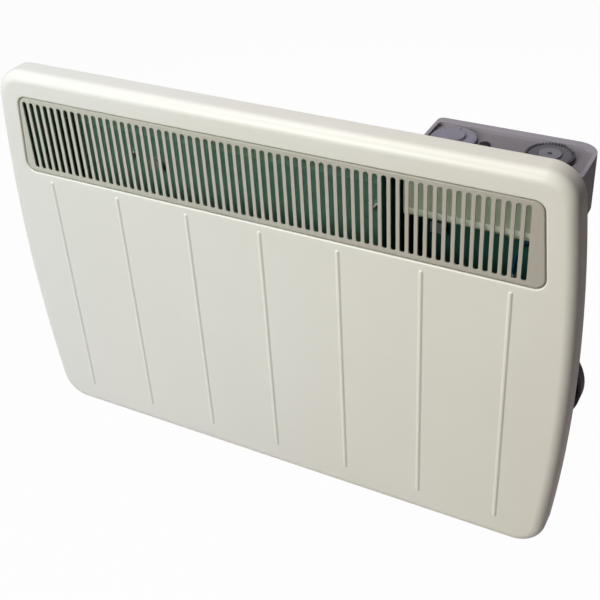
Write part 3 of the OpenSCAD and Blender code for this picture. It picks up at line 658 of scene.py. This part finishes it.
# Fasteners. The two studs with nuts that show through the grille, the casing's and the housing's screws
# and the spindles are zinc plated steel, and the earth stud is plain brass.
bright = pressed_metal("bright_steel", linear(168, 170, 170), linear(206, 208, 208), metallic=0.9, rough=0.28)
dress(bright, "element_hangers", "casing_screws", "housing_screws", "thermostat_spindle", "timer_spindle")
brass = pressed_metal("brass", linear(190, 158, 84), linear(222, 190, 112), metallic=0.95, rough=0.26)
dress(brass, "earth_stud")
soften(0.25 * MM, "element_hangers", "earth_stud", angle=50)


# Dark and pale mouldings inside: the thermal cut-out, the terminal block, the thermostat, the timer and
# the switch below the panel, and the cable gland with its nut. All have a fine spark-eroded grain.
def moulding(name, colour, other, rough, grain=1400, depth=0.12, **steady):
    """Plastic with a fine grain and faint clouds of a second shade."""
    finish = new_finish(name)
    fine = finish.noise(scale=grain)
    cloud = finish.noise(scale=22, detail=3.0)
    mix = finish.blend(finish.ramp(cloud, low=0.35, high=0.65), colour, other)
    skin = finish.bump(fine, strength=depth, distance=0.15 * MM)
    return finish.surface(mix, rough + fine * 0.1, skin, **steady)


dark_plastic = moulding("dark_moulding", linear(50, 48, 48), linear(60, 58, 57), rough=0.45)
pale_plastic = moulding("pale_moulding", linear(220, 217, 205), linear(228, 225, 214), rough=0.42)
dress(dark_plastic, "thermal_cutout", "thermostat_body", "button_switch", "cable_gland", "gland_nut")
dress(pale_plastic, "terminal_block", "timer_body")
soften(0.4 * MM, "terminal_block", "timer_body", "thermostat_body", "button_switch")
soften(0.3 * MM, "cable_gland", "gland_nut")


# Wires. Single cores in soft coloured insulation, bent by hand between the terminals. The neutral one
# bows forward, and its crimped sleeve shows bright at the foot of a slot, with a painted highlight.
LEAD_R = 1.6 * MM
# The neutral core's points in mm, from the terminal block down to the cut-out.
LEAD_RUN = (
    (253, -54, 118), (252, -62, 115), (249, -68.5, 118), (246, -71, 111), (243.5, -70, 102),
    (241.8, -68, 93), (241.3, -66, 84.5), (241, -65, 79.5), (240, -59, 50),
)
FERRULE_R = 2.2 * MM
FERRULE_L = 5 * MM
CRIMP = 0.86
CRIMP_AT = (0.45, 0.55, 0.65)
MERGE_GAP = 0.002 * MM
ROUND_LIMIT = 2.2  # a corner's rounding leaves this many times its length on each side


def turned(bm, profile, steps):
    """Spins a profile of (radius, height) pairs round Z."""
    verts = [bm.verts.new((r, 0, z)) for r, z in profile]
    edges = [bm.edges.new(pair) for pair in zip(verts, verts[1:])]
    bmesh.ops.spin(
        bm, geom=verts + edges, cent=(0, 0, 0), axis=(0, 0, 1), angle=2 * math.pi, steps=steps,
        use_merge=True,
    )
    bmesh.ops.remove_doubles(bm, verts=bm.verts, dist=MERGE_GAP)


def rounded_profile(points, radius=0.35 * MM, steps=3):
    """Rounds every corner of a profile but its two ends."""
    out = [points[0]]
    for before, here, after in zip(points, points[1:], points[2:]):
        a, b, c = Vector(before), Vector(here), Vector(after)
        cut = min(radius, (a - b).length / ROUND_LIMIT, (c - b).length / ROUND_LIMIT)
        start, end = b + (a - b).normalized() * cut, b + (c - b).normalized() * cut
        for k in range(steps + 1):
            t = k / steps
            spot = start * (1 - t) ** 2 + b * (2 * t * (1 - t)) + end * t * t
            out.append((spot.x, spot.y))
    return out + [points[-1]]


def insulation(name, colour, other):
    return moulding(name, colour, other, rough=0.32, grain=700, depth=0.05, Coat_Weight=0.3)


blue = insulation("wire_blue", linear(14, 82, 112), linear(20, 92, 124))
dress(insulation("wire_black", linear(34, 32, 32), linear(42, 40, 40)), "wire_element")
dress(insulation("wire_brown", linear(110, 60, 34), linear(122, 70, 42)), "wire_live")
dress(insulation("wire_green", linear(60, 110, 50), linear(120, 130, 60)), "wire_earth")

lead = bpy.data.curves.new("neutral_lead", "CURVE")
lead.dimensions = "3D"
lead.bevel_depth = LEAD_R
lead.bevel_resolution = 6
lead.resolution_u = 12
lead.use_fill_caps = True
run = lead.splines.new("BEZIER")
run.bezier_points.add(len(LEAD_RUN) - 1)
for point, spot in zip(run.bezier_points, LEAD_RUN):
    point.co = Vector(spot) * MM
    point.handle_left_type = "AUTO"
    point.handle_right_type = "AUTO"
path = bpy.data.objects.new("neutral_path", lead)
bm = bmesh.new()
bm.from_mesh(bpy.data.meshes.new_from_object(path))
bmesh.ops.remove_doubles(bm, verts=bm.verts, dist=MERGE_GAP)
bpy.data.objects.remove(path)
make_piece("neutral_lead", bm, blue, "heater", "wire_neutral")

crimp_low, crimp_middle, crimp_high = [share * FERRULE_L for share in CRIMP_AT]
bm = bmesh.new()
turned(bm, rounded_profile([
    (LEAD_R, 0), (FERRULE_R, 0), (FERRULE_R, crimp_low), (FERRULE_R * CRIMP, crimp_middle),
    (FERRULE_R, crimp_high), (FERRULE_R, FERRULE_L), (LEAD_R, FERRULE_L), (LEAD_R, 0),
]), steps=32)
low_end, high_end = Vector(LEAD_RUN[-2]) * MM, Vector(LEAD_RUN[-3]) * MM
lean = (high_end - low_end).to_track_quat("Z", "Y").to_matrix().to_4x4()
bmesh.ops.transform(bm, matrix=Matrix.Translation(low_end) @ lean, verts=bm.verts)
# Painted highlight: the sleeve is near white and matt, in place of its bright reflection.
tinned_painted_highlight = pressed_metal("tinned_painted_highlight", linear(236, 240, 236), linear(246, 248, 246), metallic=0.0, rough=0.3)
make_piece("neutral_ferrule", bm, tinned_painted_highlight, "heater")


# Control housing and its panel. The box is one moulding in fine textured grey plastic, open at the top,
# and the panel is a paler plate that drops on to a ledge inside its rim.
def box_plastic(name, colour, other):
    return moulding(name, colour, other, rough=0.5, grain=1100, depth=0.2)


dress(box_plastic("housing_grey", linear(149, 144, 148), linear(156, 151, 155)), "control_housing")
dress(box_plastic("panel_grey", linear(124, 119, 121), linear(132, 127, 129)), "control_panel")
soften(0.7 * MM, "control_housing")
soften(0.4 * MM, "control_panel")


# Thermostat dial. A smooth grey moulding turned by hand: a low skirt with a finely ribbed edge, a raised
# centre with a pointer bar, and a ring of tick marks printed round the skirt.
DIAL_SKIRT = 3.4 * MM
DIAL_CHAMFER = 1.2 * MM
DIAL_HUB_R = 10 * MM
DIAL_HUB_H = 2.4 * MM
DIAL_HUB_DRAFT = 1 * MM
GRIP_N = 90
GRIP_DEPTH = 0.25 * MM
GRIP_BAND = 0.4 * MM
POINTER_SIZE = (8.5 * MM, 1.6 * MM, 1.2 * MM)
POINTER_INSET = 7.2 * MM
POINTER_ROUND = 0.3 * MM
TICK_L = 2.4 * MM
TICK_W = 0.4 * MM
TICK_H = 0.12 * MM
TICK_STEP = 15
TICK_INSET = 2 * MM
THERMOSTAT_TICKS = 19
THERMOSTAT_FIRST = -45


def bar(bm, size, at, turn, bevel=0.0):
    """A bar that lies along X before it is turned round the dial's axis."""
    made = bmesh.ops.create_cube(bm, size=1)["verts"]
    bmesh.ops.scale(bm, vec=size, verts=made)
    if bevel:
        edges = list(dict.fromkeys(edge for vert in made for edge in vert.link_edges))
        made = bmesh.ops.bevel(
            bm, geom=edges, offset=bevel, segments=2, profile=0.5, affect="EDGES", material=-1)["verts"]
    bmesh.ops.translate(bm, vec=at, verts=made)
    bmesh.ops.rotate(bm, cent=(0, 0, 0), matrix=Matrix.Rotation(turn, 3, "Z"), verts=made)


def tick_ring(bm, count, first, outer):
    """Evenly turned ticks, inwards from a radius, with each third one twice as long."""
    for k in range(count):
        length = TICK_L if k % 3 == 0 else TICK_L / 2
        at = (outer - length / 2, 0, DIAL_SKIRT)
        bar(bm, (length, TICK_W, TICK_H), at, math.radians(first + TICK_STEP * k))


def dial_place(name):
    """The middle of a dial's foot, and its radius."""
    low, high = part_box(name)
    return Vector(((low.x + high.x) / 2, (low.y + high.y) / 2, low.z)), (high.x - low.x) / 2


def settle(bm, at):
    """Puts a piece made at the origin in its place."""
    bmesh.ops.translate(bm, vec=at, verts=bm.verts)


def grip_edge(bm, radius, count):
    """Cuts fine grip ribs into a rim."""
    for vert in bm.verts:
        reach = math.hypot(vert.co.x, vert.co.y)
        if reach > radius - GRIP_BAND:
            turn = math.atan2(vert.co.y, vert.co.x) * count
            pull = 1 - GRIP_DEPTH * (0.5 + 0.5 * math.cos(turn)) / reach
            vert.co.x *= pull
            vert.co.y *= pull


def smooth_moulding(name, colour, other, rough):
    return moulding(name, colour, other, rough, grain=600, depth=0.05)


thermostat_at, dial_r = dial_place("thermostat_dial")
hub_top = DIAL_SKIRT + DIAL_HUB_H
bm = bmesh.new()
turned(bm, rounded_profile([
    (0, 0), (dial_r, 0), (dial_r, DIAL_SKIRT - DIAL_CHAMFER), (dial_r - DIAL_CHAMFER, DIAL_SKIRT),
    (DIAL_HUB_R + DIAL_HUB_DRAFT, DIAL_SKIRT), (DIAL_HUB_R, hub_top), (0, hub_top),
]), steps=GRIP_N * 4)
grip_edge(bm, dial_r, GRIP_N)
bar(bm, POINTER_SIZE, (dial_r - POINTER_INSET, 0, DIAL_SKIRT), math.pi / 2, POINTER_ROUND)
dial_grey = smooth_moulding("dial_grey", linear(134, 131, 140), linear(141, 138, 147), rough=0.42)
settle(bm, thermostat_at)
knob = make_piece("thermostat_knob", bm, dial_grey, "thermostat", "thermostat_dial")
even_normals(knob)

dial_print = moulding("dial_print", linear(44, 42, 48), linear(52, 50, 56), rough=0.5)
bm = bmesh.new()
tick_ring(bm, THERMOSTAT_TICKS, THERMOSTAT_FIRST, dial_r - TICK_INSET)
settle(bm, thermostat_at)
make_piece("thermostat_ticks", bm, dial_print, "thermostat")


# Timer dial. A pale hub turns inside a ring of 48 switching tappets in darker grey, and its skirt is
# marked once for each hour, with a longer mark every third hour. The hub's middle has a small dark cap.
TAPPET_W = 2.3 * MM
CORE_STEP = 0.2 * MM
CORE_SLOPE_W = 0.6 * MM
CORE_SLOPE_H = 0.4 * MM
TIMER_FOOT = 1 * MM
HUB_WELL = 0.6 * MM
HUB_SINK = 0.8 * MM
TIMER_HUB_H = 1.2 * MM
CAP_WELL_R = 2.2 * MM
CAP_WELL_FLOOR = 0.4 * MM
CAP_R = 1.9 * MM
CAP_TOP = 0.9 * MM
CAP_FOOT = 0.3 * MM
TIMER_ROUND = 0.2 * MM
TIMER_TICKS = 24
TIMER_TICK_INSET = 1 * MM

timer_at, timer_r = dial_place("timer_dial")
core_r = timer_r - TAPPET_W - CORE_STEP
well_r = DIAL_HUB_R + HUB_WELL
bm = bmesh.new()
turned(bm, rounded_profile([
    (0, 0), (timer_r, 0), (timer_r, TIMER_FOOT), (core_r, TIMER_FOOT), (core_r, DIAL_SKIRT - CORE_SLOPE_H),
    (core_r - CORE_SLOPE_W, DIAL_SKIRT), (well_r, DIAL_SKIRT), (well_r, DIAL_SKIRT - HUB_WELL),
    (0, DIAL_SKIRT - HUB_WELL),
], TIMER_ROUND), steps=144)
timer_grey = smooth_moulding("timer_grey", linear(92, 89, 94), linear(100, 97, 102), rough=0.36)
settle(bm, timer_at)
knob = make_piece("timer_knob", bm, timer_grey, "timer", "timer_dial")
even_normals(knob)

hub_top = DIAL_SKIRT + TIMER_HUB_H
hub_low = DIAL_SKIRT - HUB_SINK
bm = bmesh.new()
turned(bm, rounded_profile([
    (0, DIAL_SKIRT + CAP_WELL_FLOOR), (CAP_WELL_R, DIAL_SKIRT + CAP_WELL_FLOOR), (CAP_WELL_R, hub_top),
    (DIAL_HUB_R, hub_top), (DIAL_HUB_R, hub_low), (0, hub_low),
], TIMER_ROUND), steps=72)
hub_grey = smooth_moulding("timer_hub_grey", linear(118, 115, 121), linear(126, 123, 129), rough=0.34)
settle(bm, timer_at)
hub = make_piece("timer_hub", bm, hub_grey, "timer")
even_normals(hub)

cap_top, cap_foot = DIAL_SKIRT + CAP_TOP, DIAL_SKIRT + CAP_FOOT
bm = bmesh.new()
tick_ring(bm, TIMER_TICKS, 0, core_r - TIMER_TICK_INSET)
turned(bm, [(0, cap_top), (CAP_R, cap_top), (CAP_R, cap_foot), (0, cap_foot)], steps=32)
settle(bm, timer_at)
make_piece("timer_ticks", bm, dial_print, "timer")
dress(moulding("tappet_grey", linear(72, 69, 74), linear(80, 77, 82), rough=0.4), "timer_tappets")
soften(0.15 * MM, "timer_tappets", angle=50)


# Push button. A smooth black cap, slightly domed, stands up through the panel between the dials. Below
# the panel it has a flange that stops it and a thin plunger that works the switch.
BUTTON_R = 4.8 * MM
BUTTON_FLANGE_R = 6.4 * MM
BUTTON_FLANGE_H = 1.6 * MM
BUTTON_ROUND = 0.3 * MM
PLUNGER_R = 1.5 * MM
PLUNGER_L = 5 * MM
DOME_H = 0.5 * MM
DOME_START = 15
DOME_STEPS = 8

button_low, button_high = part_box("push_button")
cap_h = button_high.z - button_low.z
flange_top = PLUNGER_L + BUTTON_FLANGE_H
dome = [(BUTTON_R * x, cap_h - DOME_H * (1 - z)) for x, z in arc((0, 0), 1, DOME_START, 90, DOME_STEPS)]
bm = bmesh.new()
turned(bm, rounded_profile([
    (0, 0), (PLUNGER_R, 0), (PLUNGER_R, PLUNGER_L), (BUTTON_FLANGE_R, PLUNGER_L),
    (BUTTON_FLANGE_R, flange_top), (BUTTON_R, flange_top), (BUTTON_R, cap_h - DOME_H),
] + dome, BUTTON_ROUND), steps=64)
button_at = Vector(((button_low.x + button_high.x) / 2, (button_low.y + button_high.y) / 2, button_low.z))
black = moulding("button_black", linear(24, 17, 21), linear(30, 23, 27), rough=0.42, grain=500, depth=0.04)
settle(bm, button_at)
cap = make_piece("button_cap", bm, black, "button", "push_button")
even_normals(cap)


# Wall spacers. Moulded feet behind the lower corners keep the heater clear of the wall, their grey painted
# dark as painted shade. Each ends in a shallow dish whose rounded edge shows beside the casing.
# Painted shade: the spacers' grey is darkened to their look in the casing's shadow.
dress(moulding("spacer_grey", linear(84, 76, 78), linear(92, 84, 86), rough=0.5), "wall_spacers")
soften(0.8 * MM, "wall_spacers")

bpy.context.scene.view_settings.view_transform = "Standard"
